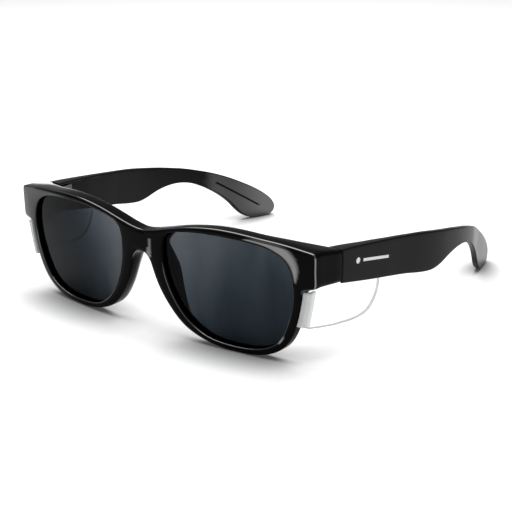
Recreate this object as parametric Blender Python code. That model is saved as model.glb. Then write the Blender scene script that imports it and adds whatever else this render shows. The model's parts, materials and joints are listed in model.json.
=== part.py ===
"""Safety glasses with folding temples and clear side shields.

Lengths below are millimetres in a drafting frame: +X is the wearer's left, +Y runs back along the
temples and +Z is up. Y is counted from the front of the bridge and moved to mid-depth when placed.
"""

import math

import bmesh
import bpy
import numpy as np

MM = 0.001
HALF_DEPTH = 78.335

# Front frame. Each station round one lens: lens opening x, z and frame outline x, z.
STATIONS = (
    (10.2, 36.0, 0.0, 39.8),
    (10.9, 38.2, 5.0, 40.4),
    (12.8, 40.1, 10.0, 41.6),
    (20.5, 42.2, 20.0, 44.0),
    (32.0, 43.1, 32.0, 45.6),
    (39.5, 43.1, 42.0, 45.7),
    (48.0, 42.7, 52.0, 45.0),
    (54.5, 41.7, 60.0, 44.4),
    (59.5, 39.7, 68.0, 43.2),
    (61.5, 38.0, 71.2, 42.6),
    (62.3, 37.0, 72.3, 42.1),
    (62.8, 36.0, 72.6, 41.0),
    (63.7, 33.4, 72.6, 36.0),
    (64.1, 31.6, 72.6, 31.0),
    (64.2, 31.0, 72.3, 30.0),
    (64.25, 30.4, 71.3, 29.5),
    (64.3, 29.6, 68.7, 28.9),
    (64.3, 29.0, 67.8, 28.5),
    (64.3, 28.2, 67.5, 27.6),
    (64.0, 24.0, 67.0, 24.3),
    (62.9, 19.0, 65.8, 18.6),
    (60.6, 12.5, 63.7, 12.0),
    (57.2, 7.2, 59.8, 5.8),
    (51.5, 3.9, 53.5, 1.8),
    (45.0, 2.5, 45.0, 0.0),
    (36.0, 2.4, 36.0, 0.0),
    (28.0, 3.6, 26.5, 1.7),
    (20.6, 7.8, 17.9, 5.6),
    (15.6, 13.6, 11.7, 12.2),
    (12.4, 19.9, 7.6, 18.8),
    (10.6, 25.5, 5.2, 24.8),
    (9.95, 30.0, 3.8, 29.3),
    (9.9, 31.2, 2.2, 30.7),
    (9.9, 32.2, 0.0, 31.1),
)
BRIDGE_STATIONS = ((9.95, 33.6, 0.0, 34.0), (10.0, 34.8, 0.0, 37.0))
STEP = 4.5
FACE_COLUMNS = (0.0, 0.3, 0.44, 0.6, 0.75, 1.0)
RIM_DEPTH = 4.4
LIP = 1.7
GROOVE_WIDTH = 2.0
GROOVE_DEPTH = 1.1
EDGE_ROUND = 0.5

# Front surface y = base + bow * x^2 + lean * h + curl * h^2, with h measured down from eyebrow level.
SURFACE = (1.215, 0.0016, 0.0, 0.0017)
BROW_Z = 45.0

# Extra depth of the bar along the top of the rims.
BROW_SPAN = (33.0, 42.0)
BROW_EXTRA = 2.2

# Endpieces: back face y along x, their underside, how their bottom and top fall and their side flares behind the rim.
WEDGE_X = (40.0, 48.0, 61.4, 68.0, 69.8, 80.0)
WEDGE_Y = (8.0, 10.9, 16.9, 22.0, 24.5, 24.5)
UNDERSIDE_Z = (27.6, 28.4)
EDGE_FALL = (0.08, 0.17)
SIDE_FLARE = 0.07

# Nose pads moulded on the back of the rims.
PAD_CENTRE = (7.2, 22.0)
PAD_REACH = (5.0, 17.0)
PAD_LEAN = 0.035
PAD_BEND_Z = 24.0
PAD_HEIGHT = 5.0
PAD_FLARE = 0.7

# Lenses.
LENS_THICKNESS = 1.4
LENS_TUCK = 0.8
GAP = 0.3

# Temples: top edge y, z and bottom edge y, z at each station; outer face x along y.
TEMPLE_STATIONS = (
    (24.8, 40.7, 24.8, 28.4),
    (31.0, 40.3, 30.0, 27.5),
    (42.0, 39.3, 40.0, 25.8),
    (54.0, 38.1, 52.0, 24.0),
    (65.0, 36.9, 63.0, 22.3),
    (74.0, 35.8, 72.0, 20.6),
    (81.0, 34.7, 79.0, 19.9),
    (87.0, 33.7, 84.5, 20.7),
    (94.0, 32.5, 90.5, 22.4),
    (101.0, 31.1, 97.0, 23.5),
    (108.0, 29.6, 103.5, 23.6),
    (115.0, 27.7, 109.5, 22.6),
    (122.2, 25.5, 115.0, 20.6),
    (129.5, 22.6, 120.7, 17.6),
    (136.8, 19.1, 126.4, 13.7),
    (144.0, 15.2, 131.1, 9.5),
    (149.7, 11.4, 134.7, 5.4),
    (153.6, 7.9, 137.8, 2.7),
    (155.4, 4.6, 141.4, 0.8),
    (154.7, 2.0, 145.0, 0.0),
    (152.4, 0.5, 148.8, 0.0),
)
TEMPLE_BOW = (
    (24.8, 73.3),
    (40.0, 74.2),
    (55.0, 75.2),
    (90.0, 77.1),
    (115.0, 73.2),
    (135.0, 66.1),
    (155.4, 59.9),
)
TEMPLE_THICKNESS = ((45.0, 3.4), (65.0, 2.7))
TEMPLE_ROUND = 0.6

# A ledge along the top of the temple reaches inwards over the hinge: y, reach.
LEDGE_REACH = ((24.8, 2.8), (32.0, 1.8), (40.0, 0.7), (52.0, 0.0))
LEDGE_HEIGHT = 0.9

# Shallow slot in the inner face of the tip.
SLOT_LINE = ((123.9, 20.6), (131.3, 16.4), (139.3, 11.4), (145.9, 6.4))
SLOT_WIDTH = 0.9
SLOT_DEPTH = 0.7

# Side shields: bottom edge y, z and top edge y, z at each station of the clear plate behind its front flange.
SHIELD_STATIONS = (
    (13.5, 13.8, 13.5, 28.1),
    (17.5, 13.6, 17.5, 27.9),
    (21.5, 13.5, 21.5, 27.8),
    (25.6, 13.2, 25.6, 27.8),
    (26.4, 13.1, 26.4, 31.0),
    (32.0, 12.6, 32.0, 30.2),
    (37.5, 12.7, 37.0, 29.5),
    (42.0, 13.8, 41.0, 28.9),
    (45.3, 16.8, 44.5, 28.4),
    (47.2, 20.2, 46.4, 28.1),
    (47.9, 23.7, 47.4, 28.0),
)
SHIELD_THICKNESS = 1.2
SHIELD_INSET = 1.1
SHIELD_ROWS = 4

# The flange lies beside the rim: its front y, bottom and top z, and its outer and inner x along z.
FLANGE_Y = 9.5
FLANGE_Z = (15.0, 28.2)
FLANGE_OUTER = ((15.0, 67.2), (22.5, 69.0), (29.0, 70.3))
FLANGE_INNER = ((13.0, 64.7), (18.6, 66.3), (24.3, 67.5), (28.3, 67.9))

# The plate's tongue stands in a groove under the temple: top of the tongue y, z and the clearance round it.
TONGUE_LINE = ((25.0, 31.2), (26.4, 31.0), (47.4, 28.0), (48.3, 27.9))
SHIELD_SCREWS = ((36.0, 28.3), (44.0, 27.1))

# Hinges: vertical axis, five knuckles, flat leaves.
AXIS_X = 67.4
AXIS_Y = 24.0
KNUCKLE_R = 1.35
KNUCKLE_H = 1.5
KNUCKLE_GAP = 0.12
HINGE_Z = 30.5
LEAF_THICKNESS = 1.0
PIN_R = 0.6
PIN_HOLE_R = 0.67
FRONT_LEAF_CENTRE = (63.4, 19.71)
FRONT_LEAF_ANGLE = math.radians(37.7)
FRONT_LEAF_LENGTH = 7.0
TEMPLE_LEAF_SPAN = (25.2, 33.2)
RIVET_R = 0.6
RIVET_HOLE_R = 0.75
RIVET_HEAD_R = 1.15
RIVET_HEAD_H = 0.6
RIVET_REACH = 2.6
HEAD_GAP = 0.12
RIVET_Z = (32.6, 36.4)
FRONT_RIVET_OFFSET = -1.8
TEMPLE_RIVET_Y = 30.0

# name: base colour, roughness, metallic, transmission
FINISHES = {
    "black_gloss_plastic": ((0.012, 0.012, 0.013), 0.16, 0.0, 0.0),
    "black_satin_plastic": ((0.016, 0.016, 0.017), 0.34, 0.0, 0.0),
    "tinted_lens": ((0.045, 0.055, 0.07), 0.05, 0.0, 0.6),
    "clear_plastic": ((0.93, 0.95, 0.95), 0.06, 0.0, 0.95),
    "blackened_steel": ((0.1, 0.1, 0.105), 0.3, 1.0, 0.0),
}


def clear_scene():
    for obj in list(bpy.data.objects):
        bpy.data.objects.remove(obj, do_unlink=True)


def make_materials():
    made = {}
    for name, (colour, roughness, metallic, transmission) in FINISHES.items():
        material = bpy.data.materials.new(name)
        material.use_nodes = True
        shader = material.node_tree.nodes["Principled BSDF"]
        shader.inputs["Base Color"].default_value = (*colour, 1.0)
        shader.inputs["Roughness"].default_value = roughness
        shader.inputs["Metallic"].default_value = metallic
        shader.inputs["Transmission Weight"].default_value = transmission
        material.diffuse_color = (*colour, 1.0)
        made[name] = material
    return made


def placed(points, parent):
    """Drafting millimetres to metres, seen from the parent's origin."""
    metres = (np.asarray(points, float) - (0.0, HALF_DEPTH, 0.0)) * MM
    return metres - np.array(parent.location) if parent else metres


def add_object(name, points, faces, material, parent=None, smooth=False):
    mesh = bpy.data.meshes.new(name)
    mesh.from_pydata(placed(points, parent).tolist(), [], [list(face) for face in faces])
    shape = bmesh.new()
    shape.from_mesh(mesh)
    bmesh.ops.remove_doubles(shape, verts=shape.verts, dist=1e-6)
    bmesh.ops.recalc_face_normals(shape, faces=shape.faces)
    shape.to_mesh(mesh)
    shape.free()
    for polygon in mesh.polygons:
        polygon.use_smooth = smooth
    obj = bpy.data.objects.new(name, mesh)
    bpy.context.scene.collection.objects.link(obj)
    obj.parent = parent
    if material:
        mesh.materials.append(material)
    return obj


def hide_helper(obj):
    obj.hide_render = True
    obj.display_type = "WIRE"
    return obj


def add_boolean(obj, helper, operation):
    modifier = obj.modifiers.new(helper.name, "BOOLEAN")
    modifier.operation = operation
    modifier.solver = "EXACT"
    modifier.object = hide_helper(helper)


def spline(points, counts, before, after):
    """Points along a centripetal curve through the given ones, counts[k] of them in each interval."""
    knots = np.vstack([before, points, after])
    chord = np.sqrt(np.linalg.norm(np.diff(knots, axis=0), axis=1))
    slope = np.diff(knots, axis=0) / chord[:, None]
    left = chord[:-1, None]
    right = chord[1:, None]
    tangent = (left * slope[1:] + right * slope[:-1]) / (left + right)
    made = []
    for k, count in enumerate(counts):
        span = chord[k + 1]
        t = (np.arange(count) / count)[:, None]
        made.append(
            (2 * t**3 - 3 * t**2 + 1) * knots[k + 1]
            + (t**3 - 2 * t**2 + t) * span * tangent[k]
            + (3 * t**2 - 2 * t**3) * knots[k + 2]
            + (t**3 - t**2) * span * tangent[k + 1]
        )
    return np.vstack(made)


def normals_of(loop):
    """Unit normals of a closed plane loop that runs clockwise, pointing outwards."""
    tangent = np.roll(loop, -1, axis=0) - np.roll(loop, 1, axis=0)
    normal = np.stack([-tangent[:, 1], tangent[:, 0]], axis=1)
    return normal / np.linalg.norm(normal, axis=1)[:, None]


def ring_outlines():
    """Opening and outline points round one lens with their outward normals, and how many have a wall."""
    walled = np.array(STATIONS)
    bridge = np.array(BRIDGE_STATIONS)
    both = np.vstack([walled, bridge, walled[:1]])
    chords = np.linalg.norm(np.diff(both, axis=0).reshape(-1, 2, 2), axis=2).max(axis=1)
    counts = np.maximum(1, np.round(chords / STEP)).astype(int)
    counts[len(walled) - 1:] = 1
    opening = spline(both[:, :2], counts, bridge[-1, :2], walled[1, :2])
    flip = np.array([-1.0, 1.0])
    rim = spline(walled[:, 2:], counts[: len(walled) - 1], walled[1, 2:] * flip, walled[-2, 2:] * flip)
    outline = np.vstack([rim, walled[-1:, 2:], bridge[:, 2:]])
    outline[:, 1] = np.maximum(outline[:, 1], 0.0)
    outline_normals = normals_of(outline)
    last_wall = len(rim)
    outline_normals[0] = (0.0, 1.0)
    outline_normals[last_wall] = (0.0, -1.0)
    return opening, normals_of(opening), outline, outline_normals, last_wall


def surface_y(x, z):
    h = BROW_Z - z
    base, bow, lean, curl = SURFACE
    return base + bow * x**2 + lean * h + curl * h**2


def share_between(z, span):
    return np.clip((z - span[0]) / (span[1] - span[0]), 0.0, 1.0)


def above_underside(z):
    return share_between(z, UNDERSIDE_Z)


def pad_weight(x, z):
    centre_x = PAD_CENTRE[0] + PAD_LEAN * np.maximum(PAD_BEND_Z - z, 0.0) ** 2
    spread = ((x - centre_x) / PAD_REACH[0]) ** 2 + ((z - PAD_CENTRE[1]) / PAD_REACH[1]) ** 2
    return np.clip(1.0 - spread, 0.0, 1.0)


def back_depth(x, z):
    """Depth of the frame behind its front surface."""
    bar = RIM_DEPTH + BROW_EXTRA * share_between(z, BROW_SPAN)
    wedge = np.interp(x, WEDGE_X, WEDGE_Y) - surface_y(x, z) - bar
    return bar + above_underside(z) * np.maximum(wedge, 0.0) + PAD_HEIGHT * pad_weight(x, z)


def endpiece_share(x, z):
    return share_between(x, (67.0, 72.6)) * above_underside(z)


def at_depth(plane, depth):
    """Space points for outline-plane points that lie this deep behind the front surface."""
    x, z = plane[:, 0], plane[:, 1]
    behind = np.maximum(depth - RIM_DEPTH, 0.0)
    flare = (PAD_FLARE * pad_weight(x, z) + SIDE_FLARE * endpiece_share(x, z)) * behind
    low_fall, high_fall = EDGE_FALL
    fall = (low_fall + (high_fall - low_fall) * share_between(z, (30.0, 42.0))) * above_underside(z) * behind
    return np.stack([x + flare, surface_y(x, z) + depth, z - fall], axis=1)


def front_loops(opening, opening_normals, outline, outline_normals):
    """Loops of points round the section of the rim: front face, inner wall with its groove, back face, outer wall."""
    inner = opening + EDGE_ROUND * opening_normals
    outer = outline - EDGE_ROUND * outline_normals
    bridge = outline[:, 0] == 0.0
    bridge[0] = False
    bridge[np.flatnonzero(outline_normals[:, 1] == -1.0)] = False
    outer[bridge] = outline[bridge]
    grooved = opening + GROOVE_DEPTH * opening_normals
    loops = [at_depth(outer + (inner - outer) * (1.0 - u), 0.0 * outer[:, 0]) for u in FACE_COLUMNS[::-1]]
    deep = LIP + GROOVE_WIDTH
    level = np.ones(len(opening))
    for plane, depth in ((opening, EDGE_ROUND), (opening, LIP), (grooved, LIP), (grooved, deep), (opening, deep)):
        loops.append(at_depth(plane, depth * level))
    for u in FACE_COLUMNS:
        plane = inner + (outer - inner) * u
        loops.append(at_depth(plane, back_depth(plane[:, 0], plane[:, 1])))
    always = len(loops)
    loops.append(at_depth(outline, back_depth(outer[:, 0], outer[:, 1]) - EDGE_ROUND))
    loops.append(at_depth(outline, EDGE_ROUND * level))
    return np.array(loops), always


def ring_faces(loop_count, always, count, last_wall):
    """Quads between neighbouring loops. The bridge stations stop at the centre plane and have no outer wall."""
    faces = []
    for i in range(count):
        after = (i + 1) % count
        walled = after <= last_wall and i < last_wall
        for j in range(loop_count if walled else always - 1):
            following = (j + 1) % loop_count
            near, far = j * count, following * count
            faces.append((near + i, far + i, far + after, near + after))
    return faces


def mirrored(points):
    return np.asarray(points, float) * (-1.0, 1.0, 1.0)


def add_front_frame(materials):
    opening, opening_normals, outline, outline_normals, last_wall = ring_outlines()
    loops, always = front_loops(opening, opening_normals, outline, outline_normals)
    points = loops.reshape(-1, 3)
    faces = ring_faces(len(loops), always, len(opening), last_wall)
    both = np.vstack([points, mirrored(points)])
    flipped = [tuple(len(points) + v for v in reversed(face)) for face in faces]
    return add_object("front_frame", both, faces + flipped, materials["black_gloss_plastic"])


def add_lens(name, side, materials):
    """A bowed plate in concentric rings that fills the opening and tucks into the rim's groove."""
    opening, opening_normals, *_ = ring_outlines()
    edge = opening + LENS_TUCK * opening_normals
    middle = edge.mean(axis=0)
    rings = [middle + (edge - middle) * share for share in (1.0, 0.66, 0.33)]
    count = len(edge)
    front = LIP + GAP
    points = []
    for depth in (front, front + LENS_THICKNESS):
        for ring in [*rings, middle[None]]:
            y = surface_y(ring[:, 0], ring[:, 1]) + depth
            points.append(np.stack([ring[:, 0], y, ring[:, 1]], axis=1))
    sheet = 3 * count + 1
    faces = []
    for base in (0, sheet):
        for i in range(count):
            after = (i + 1) % count
            for ring in (0, 1):
                low = base + ring * count
                faces.append((low + i, low + after, low + count + after, low + count + i))
            faces.append((base + 2 * count + i, base + 2 * count + after, base + 3 * count))
    for i in range(count):
        after = (i + 1) % count
        faces.append((i, after, sheet + after, sheet + i))
    return add_object(name, np.vstack(points) * (side, 1, 1), faces, materials["tinted_lens"])


def temple_x(y):
    """Outer face of the temple along its length."""
    knots = np.array(TEMPLE_BOW)
    chord = np.diff(knots[:, 0])
    slope = np.diff(knots[:, 1]) / chord
    tangent = np.concatenate([slope[:1], (slope[1:] + slope[:-1]) / 2, slope[-1:]])
    y = np.clip(np.asarray(y, float), knots[0, 0], knots[-1, 0])
    k = np.clip(np.searchsorted(knots[:, 0], y, side="right") - 1, 0, len(chord) - 1)
    t = (y - knots[k, 0]) / chord[k]
    return (
        (2 * t**3 - 3 * t**2 + 1) * knots[k, 1]
        + (t**3 - 2 * t**2 + t) * chord[k] * tangent[k]
        + (3 * t**2 - 2 * t**3) * knots[k + 1, 1]
        + (t**3 - t**2) * chord[k] * tangent[k + 1]
    )


def along_y(knots, y):
    table = np.array(knots)
    return np.interp(y, table[:, 0], table[:, 1])


def temple_inner_x(y):
    return temple_x(y) - along_y(TEMPLE_THICKNESS, y)


def loft(sections):
    """Points and faces of a closed tube through equal sections, with flat ends."""
    size = len(sections[0])
    faces = [tuple(range(size))]
    for row in range(len(sections) - 1):
        for k in range(size):
            low, high = row * size + k, row * size + (k + 1) % size
            faces.append((low, high, high + size, low + size))
    last = (len(sections) - 1) * size
    faces.append(tuple(last + k for k in reversed(range(size))))
    return np.vstack(sections), faces


def temple_section(top_y, top_z, low_y, low_z):
    """Rounded oblong between the top and bottom edges at one station, with the ledge at its inner top corner."""
    top, low = np.array([top_y, top_z]), np.array([low_y, low_z])
    along = (top - low) / np.linalg.norm(top - low)
    r = TEMPLE_ROUND
    inner = -along_y(TEMPLE_THICKNESS, top_y)
    ledge = inner - along_y(LEDGE_REACH, top_y)
    section = [
        (0.0, low + along * r),
        (0.0, top - along * r),
        (-r, top),
        (ledge + r, top),
        (ledge, top - along * r),
        (ledge, top - along * LEDGE_HEIGHT),
        (inner, top - along * (LEDGE_HEIGHT + 0.05)),
        (inner, low + along * r),
        (inner + r, low),
        (-r, low),
    ]
    return np.array([(temple_x(p[0]) + x, p[0], p[1]) for x, p in section])


def add_temple(name, side, parent, materials):
    points, faces = loft([temple_section(*station) for station in TEMPLE_STATIONS])
    obj = add_object(name, points * (side, 1, 1), faces, materials["black_satin_plastic"], parent)
    add_boolean(obj, slot_cutter(name + "_slot", side, parent), "DIFFERENCE")
    add_boolean(obj, groove_cutter(name + "_groove", side, parent), "DIFFERENCE")
    return obj


def groove_cutter(name, side, parent):
    sections = []
    for y, top in TONGUE_LINE:
        outer = temple_x(y) - SHIELD_INSET + GAP
        inner = temple_x(y) - SHIELD_INSET - SHIELD_THICKNESS - GAP
        y = TEMPLE_STATIONS[0][0] - 1.0 if y == TONGUE_LINE[0][0] else y
        corners = ((outer, 20.0), (outer, top + GAP), (inner, top + GAP), (inner, 20.0))
        sections.append(np.array([(x, y, z) for x, z in corners]))
    points, faces = loft(sections)
    return add_object(name, points * (side, 1, 1), faces, None, parent)


def slot_cutter(name, side, parent):
    line = np.array(SLOT_LINE)
    direction = (line[-1] - line[0]) / np.linalg.norm(line[-1] - line[0])
    across = np.array([-direction[1], direction[0]]) * SLOT_WIDTH / 2
    sections = []
    for point in line:
        inner = temple_inner_x(point[0])
        low, high = point - across, point + across
        sections.append(
            np.array(
                [
                    (inner - 1.0, *low),
                    (inner - 1.0, *high),
                    (inner + SLOT_DEPTH, *high),
                    (inner + SLOT_DEPTH, *low),
                ]
            )
        )
    points, faces = loft(sections)
    return add_object(name, points * (side, 1, 1), faces, None, parent)


def shield_x(y, z):
    """Outer face of the side shield: beside the rim at the front, under the middle of the temple at the back."""
    t = share_between(y, (FLANGE_Y, TEMPLE_STATIONS[0][0]))
    lead = along_y(FLANGE_OUTER, z)
    rear = temple_x(np.maximum(y, TEMPLE_BOW[0][0])) - SHIELD_INSET
    return lead + (rear - lead) * t * t * (3.0 - 2.0 * t)


def flange_sections():
    """The inner end of the flange and the bend where it turns into the plate."""
    z = np.linspace(*FLANGE_Z, SHIELD_ROWS)
    front = np.full(SHIELD_ROWS, FLANGE_Y)
    back = front + SHIELD_THICKNESS
    corner = along_y(FLANGE_OUTER, z)
    edge = along_y(FLANGE_INNER, z)
    bend = 0.6
    turned = shield_x(FLANGE_Y + bend, z)
    return [
        plate_section(edge, front, edge, back, z),
        plate_section(corner - bend, front, corner - SHIELD_THICKNESS - bend, back, z),
        plate_section(turned, front + bend, turned - SHIELD_THICKNESS, back + bend, z),
    ]


def plate_section(outer_x, outer_y, inner_x, inner_y, z):
    outer = np.column_stack([outer_x, outer_y, z])
    inner = np.column_stack([inner_x, inner_y, z])
    return np.vstack([outer, inner[::-1]])


def shield_section(low_y, low_z, top_y, top_z):
    y = np.linspace(low_y, top_y, SHIELD_ROWS)
    z = np.linspace(low_z, top_z, SHIELD_ROWS)
    outer = shield_x(y, z)
    return plate_section(outer, y, outer - SHIELD_THICKNESS, y, z)


def add_shield(name, side, parent, materials):
    sections = flange_sections() + [shield_section(*station) for station in SHIELD_STATIONS]
    points, faces = loft(sections)
    obj = add_object(name, points * (side, 1, 1), faces, materials["clear_plastic"], parent)
    for index, (y, z) in enumerate(SHIELD_SCREWS):
        start = (shield_x(y, z) - SHIELD_THICKNESS - 1.0, y, z)
        length = SHIELD_THICKNESS + 2.0
        cutter = rod(f"{name}_hole_{index}", side, parent, start, (1.0, 0.0, 0.0), RIVET_HOLE_R, length)
        add_boolean(obj, cutter, "DIFFERENCE")
    return obj


def lathe(profile, start, direction, segments=16):
    """Points and faces of a solid turned from (distance along, radius) pairs that begin and end off the axis."""
    direction = np.array(direction, float) / np.linalg.norm(direction)
    aside = np.cross(direction, (0.0, 0.0, 1.0) if abs(direction[2]) < 0.9 else (1.0, 0.0, 0.0))
    aside /= np.linalg.norm(aside)
    over = np.cross(direction, aside)
    turns = np.arange(segments) * 2 * math.pi / segments
    spokes = np.outer(np.cos(turns), aside) + np.outer(np.sin(turns), over)
    sections = [np.array(start) + direction * along + spokes * radius for along, radius in profile]
    return loft(sections)


def rod(name, side, parent, start, direction, radius, length):
    points, faces = lathe(((0.0, radius), (length, radius)), start, direction)
    return add_object(name, points * (side, 1, 1), faces, None, parent)


def add_rivet(name, side, parent, seat, direction, reach, materials):
    """A domed head on the seat point, its shank along the direction to the given reach behind the seat."""
    profile = (
        (-HEAD_GAP - RIVET_HEAD_H, RIVET_HEAD_R * 0.35),
        (-HEAD_GAP - RIVET_HEAD_H * 0.7, RIVET_HEAD_R * 0.8),
        (-HEAD_GAP - RIVET_HEAD_H * 0.25, RIVET_HEAD_R),
        (-HEAD_GAP, RIVET_HEAD_R),
        (-HEAD_GAP, RIVET_R),
        (reach, RIVET_R),
    )
    points, faces = lathe(profile, seat, direction)
    return add_object(name, points * (side, 1, 1), faces, materials["blackened_steel"], parent)


def prism(outline, low, high):
    """A plan outline raised from one height to another."""
    plan = np.array(outline)
    return loft([np.column_stack([plan, np.full(len(plan), z)]) for z in (low, high)])


def hull(points):
    """Convex hull of plan points, anticlockwise."""
    ordered = sorted(set(map(tuple, np.round(points, 6).tolist())))

    def chain(sequence):
        kept = []
        for p in sequence:
            while len(kept) > 1:
                (ax, ay), (bx, by) = kept[-2], kept[-1]
                if (bx - ax) * (p[1] - ay) - (by - ay) * (p[0] - ax) > 0:
                    break
                kept.pop()
            kept.append(p)
        return kept[:-1]

    return chain(ordered) + chain(ordered[::-1])


def barrel_points(radius=KNUCKLE_R, segments=16):
    turns = np.arange(segments) * 2 * math.pi / segments
    return np.column_stack([AXIS_X + radius * np.cos(turns), AXIS_Y + radius * np.sin(turns)])


def knuckle_span(index):
    low = HINGE_Z + index * (KNUCKLE_H + KNUCKLE_GAP)
    return low, low + KNUCKLE_H


def joined(solids):
    points, faces, start = [], [], 0
    for solid_points, solid_faces in solids:
        points.append(solid_points)
        faces += [tuple(v + start for v in face) for face in solid_faces]
        start += len(solid_points)
    return np.vstack(points), faces


def front_leaf_frame():
    along = np.array([math.cos(FRONT_LEAF_ANGLE), math.sin(FRONT_LEAF_ANGLE)])
    away = np.array([-along[1], along[0]])
    return np.array(FRONT_LEAF_CENTRE), along, away


def front_leaf_outline():
    centre, along, away = front_leaf_frame()
    half, thick = FRONT_LEAF_LENGTH / 2, LEAF_THICKNESS / 2
    return [centre + along * a * half + away * b * thick for a, b in ((-1, -1), (1, -1), (1, 1), (-1, 1))]


def temple_leaf_outline():
    near, far = TEMPLE_LEAF_SPAN
    outer = [(temple_inner_x(y) - GAP, y) for y in (near, far)]
    inner = [(x - LEAF_THICKNESS, y) for x, y in reversed(outer)]
    return np.array(outer + inner)


def add_leaf(name, side, parent, plate, arm, knuckles, materials):
    """A hinge leaf: a plate with the numbered knuckles on an arm, bored for the screw."""
    low, high = knuckle_span(0)[0], knuckle_span(4)[1]
    points, faces = prism(plate, low, high)
    obj = add_object(name, points * (side, 1, 1), faces, materials["blackened_steel"], parent)
    outline = hull(np.vstack([barrel_points(), arm]))
    points, faces = joined([prism(outline, *knuckle_span(index)) for index in knuckles])
    add_boolean(obj, add_object(name + "_knuckles", points * (side, 1, 1), faces, None, parent), "UNION")
    start = (AXIS_X, AXIS_Y, low - 1.0)
    radius = PIN_HOLE_R / math.cos(math.pi / 16)
    bore = rod(name + "_bore", side, parent, start, (0.0, 0.0, 1.0), radius, high - low + 2.0)
    add_boolean(obj, bore, "DIFFERENCE")
    return obj


def add_hinge_screw(name, side, parent, materials):
    low, high = knuckle_span(0)[0], knuckle_span(4)[1]
    head = 0.7
    profile = (
        (-0.25, PIN_R),
        (high - low + 0.06, PIN_R),
        (high - low + 0.06, 1.15),
        (high - low + 0.06 + head * 0.6, 1.15),
        (high - low + 0.06 + head, 0.8),
    )
    points, faces = lathe(profile, (AXIS_X, AXIS_Y, low), (0.0, 0.0, 1.0))
    return add_object(name, points * (side, 1, 1), faces, materials["blackened_steel"], parent)


def add_front_hinge(label, side, front, materials):
    centre, along, away = front_leaf_frame()
    plate = front_leaf_outline()
    arm = [centre + along * a + away * b for a in (2.0, 3.4) for b in (-0.4, 0.5)]
    leaf = add_leaf(f"front_hinge_{label}", side, None, plate, arm, (0, 2, 4), materials)
    into = (-away[0], -away[1], 0.0)
    seat_plan = centre + along * FRONT_RIVET_OFFSET + away * LEAF_THICKNESS / 2
    for place, z in zip(("lower", "upper"), RIVET_Z):
        name = f"front_rivet_{label}_{place}"
        add_rivet(name, side, None, (*seat_plan, z), into, RIVET_REACH, materials)
        start = (*(seat_plan + away), z)
        hole = rod(name + "_hole", side, None, start, into, RIVET_HOLE_R, 1.0 + RIVET_REACH + GAP)
        add_boolean(leaf, hole, "DIFFERENCE")
        add_boolean(front, hole, "DIFFERENCE")


def add_temple_hinge(label, side, parent, temple, materials):
    near = TEMPLE_LEAF_SPAN[0]
    edge = temple_inner_x(near) - GAP
    arm = [(edge - b, y) for y in (near + 0.1, near + 1.2) for b in (0.05, LEAF_THICKNESS)]
    leaf = add_leaf(f"temple_hinge_{label}", side, parent, temple_leaf_outline(), arm, (1, 3), materials)
    inner = temple_inner_x(TEMPLE_RIVET_Y) - GAP - LEAF_THICKNESS
    into = (1.0, 0.0, 0.0)
    for place, z in zip(("lower", "upper"), RIVET_Z):
        name = f"temple_rivet_{label}_{place}"
        add_rivet(name, side, parent, (inner, TEMPLE_RIVET_Y, z), into, RIVET_REACH, materials)
        start = (inner - 1.0, TEMPLE_RIVET_Y, z)
        hole = rod(name + "_hole", side, parent, start, into, RIVET_HOLE_R, 1.0 + RIVET_REACH + GAP)
        add_boolean(leaf, hole, "DIFFERENCE")
        add_boolean(temple, hole, "DIFFERENCE")


def add_shield_screws(label, side, parent, temple, materials):
    """Each screw passes through the inner wall of the groove and ends in the plate's hole."""
    for place, (y, z) in zip(("front", "rear"), SHIELD_SCREWS):
        name = f"shield_screw_{label}_{place}"
        inner = temple_inner_x(y)
        reach = shield_x(y, z) - inner
        add_rivet(name, side, parent, (inner, y, z), (1.0, 0.0, 0.0), reach, materials)
        hole = rod(name + "_hole", side, parent, (inner - 1.0, y, z), (1.0, 0.0, 0.0), RIVET_HOLE_R, reach)
        add_boolean(temple, hole, "DIFFERENCE")


def add_side(label, side, front, materials):
    pivot = bpy.data.objects.new(f"{label}_temple_pivot", None)
    pivot.location = (side * AXIS_X * MM, (AXIS_Y - HALF_DEPTH) * MM, 0.0)
    bpy.context.scene.collection.objects.link(pivot)
    add_lens(f"lens_{label}", side, materials)
    temple = add_temple(f"temple_{label}", side, pivot, materials)
    add_shield(f"side_shield_{label}", side, pivot, materials)
    add_front_hinge(label, side, front, materials)
    add_temple_hinge(label, side, pivot, temple, materials)
    add_hinge_screw(f"hinge_screw_{label}", side, None, materials)
    add_shield_screws(label, side, pivot, temple, materials)


def main():
    clear_scene()
    materials = make_materials()
    front = add_front_frame(materials)
    add_side("left", 1, front, materials)
    add_side("right", -1, front, materials)


main()
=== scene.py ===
"""Looks for the safety glasses: glossy front, satin temples, tinted lenses, clear shields, steel hinges."""

import json
import math

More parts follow.
